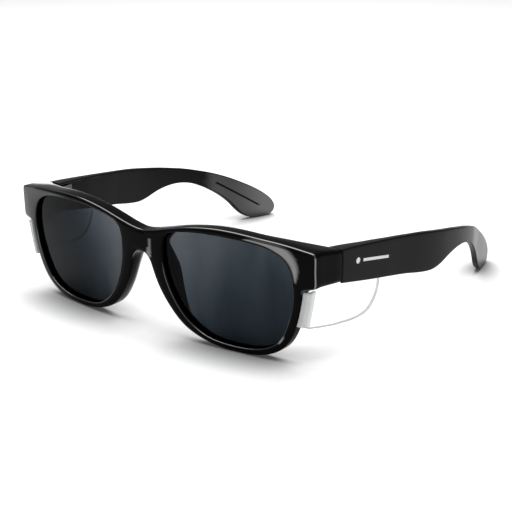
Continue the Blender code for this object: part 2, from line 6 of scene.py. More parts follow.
import bmesh
import bpy
import numpy as np
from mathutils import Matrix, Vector

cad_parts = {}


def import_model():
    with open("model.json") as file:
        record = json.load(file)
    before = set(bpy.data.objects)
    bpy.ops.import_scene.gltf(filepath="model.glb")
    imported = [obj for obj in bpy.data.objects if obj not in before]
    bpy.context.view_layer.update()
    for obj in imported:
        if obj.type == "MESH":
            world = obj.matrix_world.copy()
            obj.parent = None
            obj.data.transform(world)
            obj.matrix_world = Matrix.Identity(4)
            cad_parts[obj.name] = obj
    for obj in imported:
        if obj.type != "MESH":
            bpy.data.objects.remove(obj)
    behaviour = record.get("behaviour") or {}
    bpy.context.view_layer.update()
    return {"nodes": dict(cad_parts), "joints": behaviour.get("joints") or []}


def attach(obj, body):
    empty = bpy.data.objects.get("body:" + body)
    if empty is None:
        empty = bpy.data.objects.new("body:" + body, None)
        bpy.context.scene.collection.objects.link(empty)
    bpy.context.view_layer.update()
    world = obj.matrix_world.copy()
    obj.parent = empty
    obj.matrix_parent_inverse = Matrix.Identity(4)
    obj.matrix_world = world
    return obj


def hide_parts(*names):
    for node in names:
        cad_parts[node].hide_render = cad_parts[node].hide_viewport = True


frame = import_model()
NODES = frame["nodes"]
MM = 0.001
HINGES = {joint["child"]: joint["pos_m"] for joint in frame["joints"]}

# Drafting frame in millimetres: Y counts from the front of the bridge, the hinge axis lies at y = 24.
AXIS_Y = 24.0
Y_SHIFT = HINGES["left_temple"][1] / MM - AXIS_Y

# ---------------------------------------------------------------- shape of the front
# Each row is a point of the lens opening, then the outline's point beside it, both as x and z.
STATIONS = (
    (10.2, 36.0, 0.0, 39.8),
    (10.9, 38.2, 5.0, 40.4),
    (12.8, 40.1, 10.0, 41.6),
    (20.5, 42.2, 20.0, 44.0),
    (32.0, 43.1, 32.0, 45.6),
    (39.5, 43.1, 42.0, 45.7),
    (48.0, 42.7, 52.0, 45.0),
    (54.5, 41.7, 60.0, 44.4),
    (59.5, 39.7, 68.0, 43.2),
    (61.5, 38.0, 71.2, 42.6),
    (62.3, 37.0, 72.3, 42.1),
    (62.8, 36.0, 72.6, 41.0),
    (63.7, 33.4, 72.6, 36.0),
    (64.1, 31.6, 72.6, 31.0),
    (64.2, 31.0, 72.3, 30.0),
    (64.25, 30.4, 71.3, 29.5),
    (64.3, 29.6, 68.7, 28.9),
    (64.3, 29.0, 67.8, 28.5),
    (64.3, 28.2, 67.5, 27.6),
    (64.0, 24.0, 67.0, 24.3),
    (62.9, 19.0, 65.8, 18.6),
    (60.6, 12.5, 63.7, 12.0),
    (57.2, 7.2, 59.8, 5.8),
    (51.5, 3.9, 53.5, 1.8),
    (45.0, 2.5, 45.0, 0.0),
    (36.0, 2.4, 36.0, 0.0),
    (28.0, 3.6, 26.5, 1.7),
    (20.6, 7.8, 17.9, 5.6),
    (15.6, 13.6, 11.7, 12.2),
    (12.4, 19.9, 7.6, 18.8),
    (10.6, 25.5, 5.2, 24.8),
    (9.95, 30.0, 3.8, 29.3),
    (9.9, 31.2, 2.2, 30.7),
    (9.9, 32.2, 0.0, 31.1),
)
BRIDGE_STATIONS = ((9.95, 33.6, 0.0, 34.0), (10.0, 34.8, 0.0, 37.0))
STEP = 0.8
SMOOTH_ROUNDS = 12
SHARP_CORNER = (64.0, 27.0)
RIM_DEPTH = 4.4
LIP = 1.7
GROOVE_WIDTH = 2.0
GROOVE_DEPTH = 1.1
GROOVE_EASE = 0.25
LIP_EASES = (0.15, 0.1)
FRONT_ROUND = 0.75
BACK_ROUND = 0.7
OPENING_ROUND = 0.55
ROUND_STEPS = 5
FACE_STEPS = 10
CROWN = 0.22
SURFACE = (1.215, 0.0016, 0.0, 0.0017)
BROW_Z = 45.0
WEDGE_FROM = 34.0
WEDGE_BLEND = 0.25
WEDGE = (
    (30.0, 0.0),
    (38.0, 7.8),
    (45.0, 10.0),
    (55.0, 13.9),
    (61.4, 16.9),
    (66.0, 20.5),
    (68.8, 22.9),
    (70.3, 24.0),
    (71.6, 24.45),
    (73.0, 24.5),
)
UNDERSIDE_Z = (27.6, 28.4)
BROW_SPAN = (33.0, 42.0)
BROW_EXTRA = 2.2
EDGE_FALL = (0.08, 0.17)
EDGE_FALL_SPAN = (30.0, 42.0)
SIDE_FLARE = 0.07
SIDE_FLARE_SPAN = (67.0, 72.6)
PAD_CENTRE = (7.2, 22.0)
PAD_REACH = (5.0, 17.0)
PAD_LEAN = 0.035
PAD_BEND_Z = 24.0
PAD_HEIGHT = 5.0
PAD_FLARE = 0.7
CORNER_CENTRE = (57.0, 38.5)
CORNER_FADE = (0.3, 1.0)
CORNER_ROLL = 0.15
ROLL_REACH = (16.0, 10.0)
ROLL_SPAN = (0.25, 1.3)
ROLL_SCALE = 0.85

LENS_STEP = 1.2
LENS_THICKNESS = 1.4
LENS_TUCK = 0.8
LENS_BEVEL = 0.12
LENS_RINGS = (1.0, 0.985, *np.linspace(0.955, 0.035, 24))
GAP = 0.3

# ---------------------------------------------------------------- painted reflections of the front
# In millimetres. CRESCENT_REACH, FACET_LOW, FACET_HIGH and SPOT are places of painted highlights, and other
# pairs are fading spans.
EDGE_START = (0.26, 0.36)
EDGE_STOP = (0.54, 0.74)
OUTER_BESIDE = (0.8, 1.2)
OUTER_ABOVE = (27.0, 31.0)
LOWER_BESIDE = (0.5, 0.9)
LOWER_BELOW = (20.0, 30.0)
# Strength of the painted highlight along the lower edges of the openings.
LOWER_HIGHLIGHT = 0.9
CRESCENT_REACH = (17.0, 12.0)
CRESCENT_BESIDE = (0.75, 1.0)
CRESCENT_WIDTH = 6.2
CRESCENT_SOLID = 0.55
CRESCENT_DEPTH = (CROWN + CORNER_ROLL + 0.1, CROWN + CORNER_ROLL + 0.3)
ENDPIECE_SPAN = (38.0, 66.0)
# Strength of the painted sheen on the right endpiece.
ENDPIECE_SHEEN = 0.16
FACET_LOW = (2.4, 29.8)
FACET_HIGH = (5.2, 38.0)
# Strength of the painted highlight on the bridge facet.
FACET_HIGHLIGHT = 0.6
FACET_DEPTH = CROWN + 0.5
SPOT = (58.5, 9.0)
SPOT_FADE = (1.2, 2.4)
SPOT_BESIDE = (-1.1, -0.8)
SPOT_DEPTH = (0.9, 1.1)

# ---------------------------------------------------------------- shape of the temples and shields
# Each row is a point of the temple's top edge, then the bottom edge's point under it, both as y and z.
TEMPLE_STATIONS = (
    (24.8, 40.7, 24.8, 28.4),
    (31.0, 40.3, 30.0, 27.5),
    (42.0, 39.3, 40.0, 25.8),
    (54.0, 38.1, 52.0, 24.0),
    (65.0, 36.9, 63.0, 22.3),
    (74.0, 35.8, 72.0, 20.6),
    (81.0, 34.7, 79.0, 19.9),
    (87.0, 33.7, 84.5, 20.7),
    (94.0, 32.5, 90.5, 22.4),
    (101.0, 31.1, 97.0, 23.5),
    (108.0, 29.6, 103.5, 23.6),
    (115.0, 27.7, 109.5, 22.6),
    (122.2, 25.5, 115.0, 20.6),
    (129.5, 22.6, 120.7, 17.6),
    (136.8, 19.1, 126.4, 13.7),
    (144.0, 15.2, 131.1, 9.5),
    (149.7, 11.4, 134.7, 5.4),
    (153.6, 7.9, 137.8, 2.7),
    (155.4, 4.6, 141.4, 0.8),
    (154.7, 2.0, 145.0, 0.0),
    (152.4, 0.5, 148.8, 0.0),
)
TEMPLE_BOW = (
    (24.8, 73.3),
    (40.0, 74.2),
    (55.0, 75.2),
    (90.0, 77.1),
    (115.0, 73.2),
    (135.0, 66.1),
    (155.4, 59.9),
)
TEMPLE_THICKNESS = ((45.0, 3.4), (65.0, 2.7))
TEMPLE_ROUND = 0.6
TEMPLE_STEP = 0.7
TEMPLE_END = 0.15
# Painted sheen on the temple tips: its strength and the span of y over which it fades in.
TIP_SHEEN = ((0.27, (117.0, 123.0)), (0.34, (130.0, 154.0)))
TIP_OUTSIDE = 0.25
FACE_DEPTH = 0.04
LEDGE_REACH = ((24.8, 2.8), (32.0, 1.8), (40.0, 0.7), (52.0, 0.0))
LEDGE_HEIGHT = 0.9
SLOT_LINE = ((123.9, 20.6), (131.3, 16.4), (139.3, 11.4), (145.9, 6.4))
SLOT_WIDTH = 0.9
SLOT_DEPTH = 0.7
SLOT_ENDS = (0.5, 0.3)
SLOT_SUPPORT = 1.4
SLOT_MARGIN = 0.3
# Each row is a point of the shield's lower edge, then the upper edge's point above it, both as y and z.
SHIELD_STATIONS = (
    (13.5, 13.8, 13.5, 28.1),
    (17.5, 13.6, 17.5, 27.9),
    (21.5, 13.5, 21.5, 27.8),
    (25.6, 13.2, 25.6, 27.8),
    (26.4, 13.1, 26.4, 31.0),
    (32.0, 12.6, 32.0, 30.2),
    (37.5, 12.7, 37.0, 29.5),
    (42.0, 13.8, 41.0, 28.9),
    (45.3, 16.8, 44.5, 28.4),
    (47.2, 20.2, 46.4, 28.1),
    (47.9, 23.7, 47.4, 28.0),
)
SHIELD_SHARES = (0.0, 0.022, 0.05, 0.13, 0.24, 0.35, 0.46, 0.57, 0.68, 0.79, 0.9, 1.0)
SHIELD_STEP = 0.8
SHIELD_THICKNESS = 1.2
SHIELD_INSET = 1.1
SHIELD_EASE = 0.18
FLANGE_Y = 9.5
FLANGE_ROUNDS = (1.0, 0.35)
FLANGE_Z = (15.0, 28.2)
FLANGE_OUTER = ((15.0, 67.2), (22.5, 69.0), (29.0, 70.3))
FLANGE_INNER = ((13.0, 64.7), (18.6, 66.3), (24.3, 67.5), (28.3, 67.9))
TONGUE_LINE = ((25.0, 31.2), (26.4, 31.0), (47.4, 28.0), (48.3, 27.9))
TONGUE_FROM = 26.0
GROOVE_HALF = 0.9
GROOVE_END = 48.3
NO_GROOVE_HALF = 0.3
MARK_START = (36.5, 34.2)
MARK_DIRECTION = (0.988, -0.152)
MARK_LENGTH = 15.0
MARK_WIDTH = 1.1
MARK_CELLS = 10
MARK_LIFT = 0.02
DOT_DISTANCE = 3.0
DOT_SIDES = 24

# ---------------------------------------------------------------- tones and light, with lengths in metres
PLASTIC_IOR = 1.8
# Specular levels of the black plastic, from no painted reflection to full painted reflection.
PAINTED_REFLECTION_LEVELS = (0.012, 1.0)
LENS_DARK = (0.05, 0.062, 0.07)
LENS_MIDDLE = (0.108, 0.13, 0.148)
LENS_LIGHT = (0.29, 0.31, 0.325)
LENS_CLOUD = 0.07
LENS_GLOSS = (0.0035, 0.5)
SHIELD_GLOSS = (0.015, 0.8)
FLOOR_HALF = 6.0
FLOOR_SHADE = 0.12
FLOOR_WHITE = 0.93
# Painted contact shadow on the floor: its reach in metres, and the occlusion span over which it fades.
CONTACT_SHADOW_REACH = 0.028
CONTACT_SHADOW_SPAN = (0.4, 0.88)
WORLD_LIGHT = 0.3
LIGHT_PLACE = (-0.1, 0.05, 0.9)
LIGHT_SIZE = 1.2
LIGHT_POWER = 15.0

# ---------------------------------------------------------------- camera, in degrees and metres
AZIMUTH = 39.30
ELEVATION = 17.36
CAMERA_DISTANCE = 0.49965
CAMERA_TARGET = (0.0, (60.0 + Y_SHIFT) * MM, 0.022)
AIM_RIGHT = 0.01123
AIM_DOWN = 0.01456
FOCAL_LENGTH = 87.52


# ---------------------------------------------------------------- mesh helpers
def world(points):
    """Drafting millimetres to the frame's metres."""
    return (np.asarray(points, float) + (0.0, Y_SHIFT, 0.0)) * MM


def add_object(name, points, faces, weld=1e-7):
    """A smooth-shaded mesh in the scene, with points closer than weld metres joined."""
    mesh = bpy.data.meshes.new(name)
    mesh.from_pydata(world(points).tolist(), [], [list(face) for face in faces])
    shape = bmesh.new()
    shape.from_mesh(mesh)
    if weld:
        bmesh.ops.remove_doubles(shape, verts=shape.verts, dist=weld)
    bmesh.ops.recalc_face_normals(shape, faces=shape.faces)
    shape.to_mesh(mesh)
    shape.free()
    for polygon in mesh.polygons:
        polygon.use_smooth = True
    obj = bpy.data.objects.new(name, mesh)
    bpy.context.scene.collection.objects.link(obj)
    return obj


def add_painted_reflection(obj, weight):
    """Stores the painted reflection at each vertex: how strongly the surface reflects there, set from its
    drafting coordinates to paint highlights and sheen.
    """
    points = np.array([vertex.co for vertex in obj.data.vertices]) / MM - (0.0, Y_SHIFT, 0.0)
    values = np.clip(weight(points[:, 0], points[:, 1], points[:, 2]), 0.0, 1.0)
    layer = obj.data.attributes.new("painted_reflection", "FLOAT", "POINT")
    layer.data.foreach_set("value", values.astype(np.float32))


def spline(points, counts, before, after):
    """Points along a centripetal curve through the given ones, counts[k] of them in each interval."""
    knots = np.vstack([before, points, after])
    chord = np.sqrt(np.linalg.norm(np.diff(knots, axis=0), axis=1))
    slope = np.diff(knots, axis=0) / chord[:, None]
    left = chord[:-1, None]
    right = chord[1:, None]
    tangent = (left * slope[1:] + right * slope[:-1]) / (left + right)
    made = []
    for k, count in enumerate(counts):
        span = chord[k + 1]
        t = (np.arange(count) / count)[:, None]
        made.append(
            (2 * t**3 - 3 * t**2 + 1) * knots[k + 1]
            + (t**3 - 2 * t**2 + t) * span * tangent[k]
            + (3 * t**2 - 2 * t**3) * knots[k + 2]
            + (t**3 - t**2) * span * tangent[k + 1]
        )
    return np.vstack(made)


def smooth_loop(loop, rounds, weight=None):
    """Evens out the curvature of a closed loop. Weight 0 keeps a point where it is."""
    weight = np.ones(len(loop)) if weight is None else weight
    for _ in range(rounds):
        target = (np.roll(loop, 1, axis=0) + np.roll(loop, -1, axis=0)) / 2
        loop = loop + 0.5 * weight[:, None] * (target - loop)
    return loop


def normals_of(loop):
    """Outward unit normals of a clockwise loop."""
    tangent = np.roll(loop, -1, axis=0) - np.roll(loop, 1, axis=0)
    normal = np.stack([-tangent[:, 1], tangent[:, 0]], axis=1)
    return normal / np.linalg.norm(normal, axis=1)[:, None]


# ---------------------------------------------------------------- front frame
def ring_outlines(step=STEP):
    """Opening and outline of the +X half, with their normals, and the last outline point that has a wall."""
    walled = np.array(STATIONS)
    bridge = np.array(BRIDGE_STATIONS)
    both = np.vstack([walled, bridge, walled[:1]])
    chords = np.linalg.norm(np.diff(both, axis=0).reshape(-1, 2, 2), axis=2).max(axis=1)
    counts = np.maximum(1, np.round(chords / step)).astype(int)
    opening = spline(both[:, :2], counts, bridge[-1, :2], walled[1, :2])
    opening = smooth_loop(opening, SMOOTH_ROUNDS)
    flip = np.array([-1.0, 1.0])
    rim_counts = counts[: len(walled) - 1]
    rim = spline(walled[:, 2:], rim_counts, walled[1, 2:] * flip, walled[-2, 2:] * flip)
    heights = both[len(walled) - 1:, 3]
    spans = zip(heights[:-1], heights[1:], counts[len(walled) - 1:])
    climb = np.concatenate([np.linspace(low, high, n, endpoint=False) for low, high, n in spans])
    centre = np.column_stack([0.0 * climb, climb])
    outline = np.vstack([rim, centre])
    last_wall = len(rim)
    sharp = (outline[:, 0] > SHARP_CORNER[0]) & (outline[:, 1] > SHARP_CORNER[1])
    weight = np.where(sharp, 0.0, 1.0)
    weight[:3] = weight[last_wall - 2:] = 0.0
    outline = smooth_loop(outline, SMOOTH_ROUNDS, weight)
    outline[:, 1] = np.maximum(outline[:, 1], 0.0)
    outline_normals = normals_of(outline)
    outline_normals[0] = (0.0, 1.0)
    outline_normals[last_wall] = (0.0, -1.0)
    return opening, normals_of(opening), outline, outline_normals, last_wall


def surface_y(x, z):
    """Face of the front: bowed in plan, and curving back below the brow."""
    below = BROW_Z - z
    base, bow, lean, curl = SURFACE
    return base + bow * x**2 + lean * below + curl * below**2


def share_between(value, span):
    """Smooth step from 0 to 1 over the span."""
    t = np.clip((value - span[0]) / (span[1] - span[0]), 0.0, 1.0)
    return t * t * (3.0 - 2.0 * t)


def above_underside(z):
    """0 below the underside of the endpiece, and 1 above it."""
    return share_between(z, UNDERSIDE_Z)


def read_line(knots, place):
    """Reads a line given as (place, value) knots, held level past its ends."""
    table = np.array(knots)
    return np.interp(place, table[:, 0], table[:, 1])


def pad_weight(x, z):
    """1 at the middle of the nose pad and 0 off it. The pad's middle line leans outwards towards its foot."""
    centre_x = PAD_CENTRE[0] + PAD_LEAN * np.maximum(PAD_BEND_Z - z, 0.0) ** 2
    spread = ((x - centre_x) / PAD_REACH[0]) ** 2 + ((z - PAD_CENTRE[1]) / PAD_REACH[1]) ** 2
    return np.clip(1.0 - spread, 0.0, 1.0)


def wedge_y(x):
    """Back of the endpiece in plan, a smooth curve through its knots."""
    knots = np.array(WEDGE)
    return hermite(knots[:, 0], knots[:, 1], x)


def hermite(knot_x, knot_y, x):
    """Smooth curve through the knots, read at x."""
    chord = np.diff(knot_x)
    slope = np.diff(knot_y) / chord
    inner = (chord[:-1] * slope[1:] + chord[1:] * slope[:-1]) / (chord[:-1] + chord[1:])
    tangent = np.concatenate([slope[:1], inner, slope[-1:]])
    x = np.clip(np.asarray(x, float), knot_x[0], knot_x[-1])
    k = np.clip(np.searchsorted(knot_x, x, side="right") - 1, 0, len(chord) - 1)
    t = (x - knot_x[k]) / chord[k]
    return (
        (2 * t**3 - 3 * t**2 + 1) * knot_y[k]
        + (t**3 - 2 * t**2 + t) * chord[k] * tangent[k]
        + (3 * t**2 - 2 * t**3) * knot_y[k + 1]
        + (t**3 - t**2) * chord[k] * tangent[k + 1]
    )


def brow_depth(z):
    return RIM_DEPTH + BROW_EXTRA * share_between(z, BROW_SPAN)


def back_depth(x, z):
    """Depth of the back: the rim and brow, thickened by the endpiece and the nose pad."""
    rim = brow_depth(z)
    wedge = wedge_y(x) - surface_y(x, z) - rim
    soft = 0.5 * (wedge + np.sqrt(wedge**2 + WEDGE_BLEND))
    endpiece = above_underside(z) * np.where(x > WEDGE_FROM, soft, 0.0)
    return rim + endpiece + PAD_HEIGHT * pad_weight(x, z)


def at_depth(plane, depth):
    """Space points at this depth behind the face, spread and sloped towards the back of the endpiece."""
    x, z = plane[:, 0], plane[:, 1]
    behind = np.maximum(depth - RIM_DEPTH, 0.0)
    side = SIDE_FLARE * share_between(x, SIDE_FLARE_SPAN) * above_underside(z)
    flare = (PAD_FLARE * pad_weight(x, z) + side) * behind
    low_fall, high_fall = EDGE_FALL
    slope = low_fall + (high_fall - low_fall) * share_between(z, EDGE_FALL_SPAN)
    fall = slope * above_underside(z) * behind
    return np.stack([x + flare, surface_y(x, z) + depth, z - fall], axis=1)


def corner_distance(x, z, reach):
    """Distance from the corner's centre, as a share of its reach."""
    return np.hypot((x - CORNER_CENTRE[0]) / reach[0], (z - CORNER_CENTRE[1]) / reach[1])


def corner_roll(plane, share):
    """How far the face rolls back towards the opening in the wide upper outer corner of each rim."""
    near = 1.0 - share_between(corner_distance(plane[:, 0], plane[:, 1], ROLL_REACH), CORNER_FADE)
    return CORNER_ROLL * near * share_between(share, ROLL_SPAN) / ROLL_SCALE


def front_loops(opening, opening_normals, outline, outline_normals, last_wall):
    """Loops from the face through the opening to the back, then the outer wall, which the bridge lacks."""
    bridge = np.arange(len(opening)) > last_wall
    turns = np.linspace(0.0, math.pi / 2, ROUND_STEPS + 1)

    def outer_edge(radius):
        edge = outline - radius * outline_normals
        edge[bridge] = outline[bridge]
        return edge

    face_outer = outer_edge(FRONT_ROUND)
    face_inner = opening + OPENING_ROUND * opening_normals
    loops = []
    for u in np.linspace(0.0, 1.0, FACE_STEPS + 1):
        crown = CROWN * (2.0 * u - 1.0) ** 2 * np.where(bridge, 1.0 if u > 0.5 else 0.0, 1.0)
        plane = face_outer + (face_inner - face_outer) * u
        loops.append(at_depth(plane, crown + corner_roll(plane, u)))
    base = CROWN + corner_roll(face_inner, 1.0)
    for turn in turns[1:]:
        plane = opening + OPENING_ROUND * (1.0 - math.sin(turn)) * opening_normals
        loops.append(at_depth(plane, base + OPENING_ROUND * (1.0 - math.cos(turn))))
    grooved = opening + GROOVE_DEPTH * opening_normals
    deep = LIP + GROOVE_WIDTH
    slant = opening + GROOVE_EASE * opening_normals
    groove = (
        (opening, LIP - LIP_EASES[0]),
        (slant, LIP),
        (grooved, LIP),
        (grooved, deep),
        (slant, deep),
        (opening, deep + LIP_EASES[1]),
    )
    loops += [at_depth(plane, depth) for plane, depth in groove]
    back_inner = opening + BACK_ROUND * 0.5 * opening_normals
    back_outer = outer_edge(BACK_ROUND)
    floor = back_depth(back_inner[:, 0], back_inner[:, 1])
    for turn in turns[::-1][:-1]:
        plane = opening + BACK_ROUND * 0.5 * (1.0 - math.sin(turn)) * opening_normals
        depth = floor - BACK_ROUND * 0.5 * (1.0 - math.cos(turn))
        loops.append(at_depth(plane, np.maximum(depth, deep + LIP_EASES[0])))
    for u in np.linspace(0.0, 1.0, FACE_STEPS + 1):
        plane = back_inner + (back_outer - back_inner) * u
        loops.append(at_depth(plane, back_depth(plane[:, 0], plane[:, 1])))
    always = len(loops)
    floor = back_depth(back_outer[:, 0], back_outer[:, 1])
    for turn in turns[1:]:
        plane = outline - BACK_ROUND * (1.0 - math.sin(turn)) * outline_normals
        loops.append(at_depth(plane, floor - BACK_ROUND * (1.0 - math.cos(turn))))
    wall = floor - BACK_ROUND - FRONT_ROUND - CROWN
    for share in (0.75, 0.5, 0.25):
        loops.append(at_depth(outline, FRONT_ROUND + CROWN + share * wall))
    for turn in turns[::-1][:-1]:
        plane = outline - FRONT_ROUND * (1.0 - math.sin(turn)) * outline_normals
        loops.append(at_depth(plane, CROWN + FRONT_ROUND * (1.0 - math.cos(turn))))
    return np.array(loops), always


def ring_faces(loop_count, always, count, last_wall):
    """Quads between neighbouring loops. The bridge uses only the loops that it always has."""
    faces = []
    for i in range(count):
        after = (i + 1) % count
        walled = after <= last_wall and i < last_wall
        for j in range(loop_count if walled else always - 1):
            here, following = j * count, (j + 1) % loop_count * count
            faces.append((here + i, following + i, following + after, here + after))
    return faces


def crescent_painted_highlight(x, z, depth, beside):
    """Painted highlight: a crescent of strong reflection along the opening in the upper outer corner of the
    left rim, widest at its middle.
    """
    reach = corner_distance(np.abs(x), z, CRESCENT_REACH)
    width = CRESCENT_WIDTH * (1.0 - share_between(reach, CORNER_FADE))
    solid = CRESCENT_SOLID * width
    fading = (1.0 - CRESCENT_SOLID) * width + 0.01
    faded = np.clip((beside - solid) / fading, 0.0, 1.0)
    crescent_highlight = share_between(beside, CRESCENT_BESIDE) * (1.0 - faded)
    crescent_highlight *= 1.0 - share_between(depth, CRESCENT_DEPTH)
    return crescent_highlight * (x > 0.0)


def facet_painted_highlight(x, z, depth):
    """Painted highlight shaped as a facet beside the middle of the bridge."""
    rise = (z - FACET_LOW[1]) / (FACET_HIGH[1] - FACET_LOW[1])
    edge = FACET_LOW[0] + (FACET_HIGH[0] - FACET_LOW[0]) * rise
    inside = (x > edge) & (x < FACET_HIGH[0]) & (rise > 0.0) & (rise < 1.0)
    return FACET_HIGHLIGHT * (inside & (depth < FACET_DEPTH))


def front_painted_reflection(x, y, z):
    """Painted reflections of the front: highlight lines on its eased edges, the crescent, the facet, a spot,
    and sheen on the right endpiece.
    """
    opening = ring_outlines()[0]
    beside = np.minimum.reduce([np.hypot(np.abs(x) - px, z - pz) for px, pz in opening])
    depth = y - surface_y(np.abs(x), z)
    line = share_between(depth, EDGE_START) * (1.0 - share_between(depth, EDGE_STOP))
    outer = line * share_between(beside, OUTER_BESIDE) * share_between(z, OUTER_ABOVE)
    lower_highlight = LOWER_HIGHLIGHT * line * (1.0 - share_between(beside, LOWER_BESIDE))
    lower_highlight *= 1.0 - share_between(z, LOWER_BELOW)
    highlight_spot = 1.0 - share_between(np.hypot(x - SPOT[0], z - SPOT[1]), SPOT_FADE)
    highlight_spot *= share_between(-beside, SPOT_BESIDE) * (1.0 - share_between(depth, SPOT_DEPTH))
    endpiece = ENDPIECE_SHEEN * share_between(-x, ENDPIECE_SPAN)
    crescent_highlight = crescent_painted_highlight(x, z, depth, beside)
    return np.maximum.reduce([outer, lower_highlight, crescent_highlight, facet_painted_highlight(x, z, depth), highlight_spot, endpiece])


def make_front():
    outlines = ring_outlines()
    opening, *_, last_wall = outlines
    loops, always = front_loops(*outlines)
    points = loops.reshape(-1, 3)
    faces = ring_faces(len(loops), always, len(opening), last_wall)
    both = np.vstack([points, points * (-1.0, 1.0, 1.0)])
    flipped = [tuple(len(points) + v for v in reversed(face)) for face in faces]
    obj = add_object("front_moulding", both, faces + flipped, weld=1e-6)
    # Stores the painted highlights and sheen that set how strongly the front reflects.
    add_painted_reflection(obj, front_painted_reflection)
    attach(obj, "front")
    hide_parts("front_frame")
    return obj


# ---------------------------------------------------------------- lenses
def make_lens(label, side):
    opening, opening_normals, *_ = ring_outlines(LENS_STEP)
    edge = opening + LENS_TUCK * opening_normals
    middle = edge.mean(axis=0)
    rings = [middle + (edge - middle) * share for share in LENS_RINGS]
    count = len(edge)
    front = LIP + GAP
    points = []
    sheets = []
    for depth, sign in ((front, 1.0), (front + LENS_THICKNESS, -1.0)):
        sheets.append(sum(len(p) for p in points))
        for index, ring in enumerate([*rings, middle[None]]):
            inset = LENS_BEVEL * sign if index == 0 else 0.0
            y = surface_y(ring[:, 0], ring[:, 1]) + depth + inset
            points.append(np.stack([ring[:, 0], y, ring[:, 1]], axis=1))
    faces = []
    for base in sheets:
        for ring in range(len(rings) - 1):
            for i in range(count):
                after = (i + 1) % count
                low = base + ring * count
                faces.append((low + i, low + after, low + count + after, low + count + i))
        last = base + (len(rings) - 1) * count
        for i in range(count):
            faces.append((last + i, last + (i + 1) % count, last + count))
    for i in range(count):
        after = (i + 1) % count
        faces.append((sheets[0] + i, sheets[0] + after, sheets[1] + after, sheets[1] + i))
    obj = add_object(f"tinted_lens_{label}", np.vstack(points) * (side, 1, 1), faces)
    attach(obj, "front")
    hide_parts(f"lens_{label}")
    return obj


# ---------------------------------------------------------------- temples
def temple_x(y):
    """Outer face of the temple in plan."""
    knots = np.array(TEMPLE_BOW)
    return hermite(knots[:, 0], knots[:, 1], y)


def temple_thickness(y):
    return read_line(TEMPLE_THICKNESS, y)


def slot_place(top, low):
    """How far below the top edge the slot's centre line crosses this station, and where along y."""
    start, end = np.array(SLOT_LINE[0]), np.array(SLOT_LINE[-1])
    line, row, gap = end - start, low - top, start - top
    share = (gap[0] * line[1] - gap[1] * line[0]) / (row[0] * line[1] - row[1] * line[0])
    crossing = top + row * share
    return share * np.linalg.norm(row), crossing[0]


def temple_section(top, low, inset=0.0):
    """Space points of one section, drawn as x from the outer face and distance from the top edge."""
    height = np.linalg.norm(low - top)
    down = (low - top) / height
    r = min(TEMPLE_ROUND, 0.3 * height)
    inner = -temple_thickness(top[0])
    reach = read_line(LEDGE_REACH, top[0])
    ledge = inner - reach
    turns = np.linspace(0.0, math.pi / 2, 5)
    section = [(-r + r * math.sin(t), height - r + r * math.cos(t)) for t in turns]
    section += [(0.0, height - r + (2.0 * r - height) * u) for u in np.linspace(0.0, 1.0, 10)[1:-1]]
    section += [(-r + r * math.cos(t), r - r * math.sin(t)) for t in turns]
    section += [(ledge + r - r * math.sin(t), r - r * math.cos(t)) for t in turns]
    lip = min(LEDGE_HEIGHT, 0.45 * height)
    section += [(ledge, lip - 0.15), (ledge + min(0.1, 0.5 * reach), lip)]
    section += [(inner, lip + 0.05), (inner, lip + 0.2)]
    place, crossing = slot_place(top, low)
    before, into = SLOT_ENDS
    inside = share_between(crossing, (SLOT_LINE[0][0] - before, SLOT_LINE[0][0] + into))
    inside *= share_between(-crossing, (-SLOT_LINE[-1][0] - before, -SLOT_LINE[-1][0] + into))
    half = min(SLOT_WIDTH / 2, 0.12 * height)
    place = np.clip(place, lip + SLOT_MARGIN + half, height - r - SLOT_MARGIN - half)
    floor = inner + SLOT_DEPTH * inside
    section += [(inner, place - half * SLOT_SUPPORT), (inner, place - half)]
    section += [(floor, place - half), (floor, place + half)]
    section += [(inner, place + half), (inner, place + half * SLOT_SUPPORT)]
    section += [(inner + r - r * math.cos(t), height - r + r * math.sin(t)) for t in turns]
    grooved = low[0] < GROOVE_END
    half = GROOVE_HALF if grooved else NO_GROOVE_HALF
    middle = -SHIELD_INSET - SHIELD_THICKNESS / 2 if grooved else inner / 2
    roof = (read_line(TONGUE_LINE, low[0]) + GAP - low[1]) / -down[1] if grooved else 0.0
    section += [(middle - half, height), (middle - half, height - roof)]
    section += [(middle + half, height - roof), (middle + half, height)]
    made = []
    for x, d in section:
        if inset:
            x, d = np.clip(x, ledge + inset, -inset), np.clip(d, inset, height - inset)
        place = top + down * d
        made.append((temple_x(place[0]) + x, place[0], place[1]))
    return np.array(made)


def loft(sections):
    """Points and faces of a skin over sections of equal size, closed at both ends."""
    size = len(sections[0])
    faces = [tuple(range(size))]
    for row in range(len(sections) - 1):
        for k in range(size):
            low, high = row * size + k, row * size + (k + 1) % size
            faces.append((low, high, high + size, low + size))
    last = (len(sections) - 1) * size
    faces.append(tuple(last + k for k in reversed(range(size))))
    return np.vstack(sections), faces


def temple_painted_sheen(x, y, _):
    """Painted sheen: brighter on both flat faces of the tip, dark on the edges between them."""
    inside = temple_x(y) - np.abs(x)
    flat = (inside < FACE_DEPTH) | (inside > temple_thickness(y) - FACE_DEPTH)
    flat = np.where(inside < FACE_DEPTH, TIP_OUTSIDE, 1.0) * flat
    return 0.02 + flat * sum(gain * share_between(y, span) for gain, span in TIP_SHEEN)


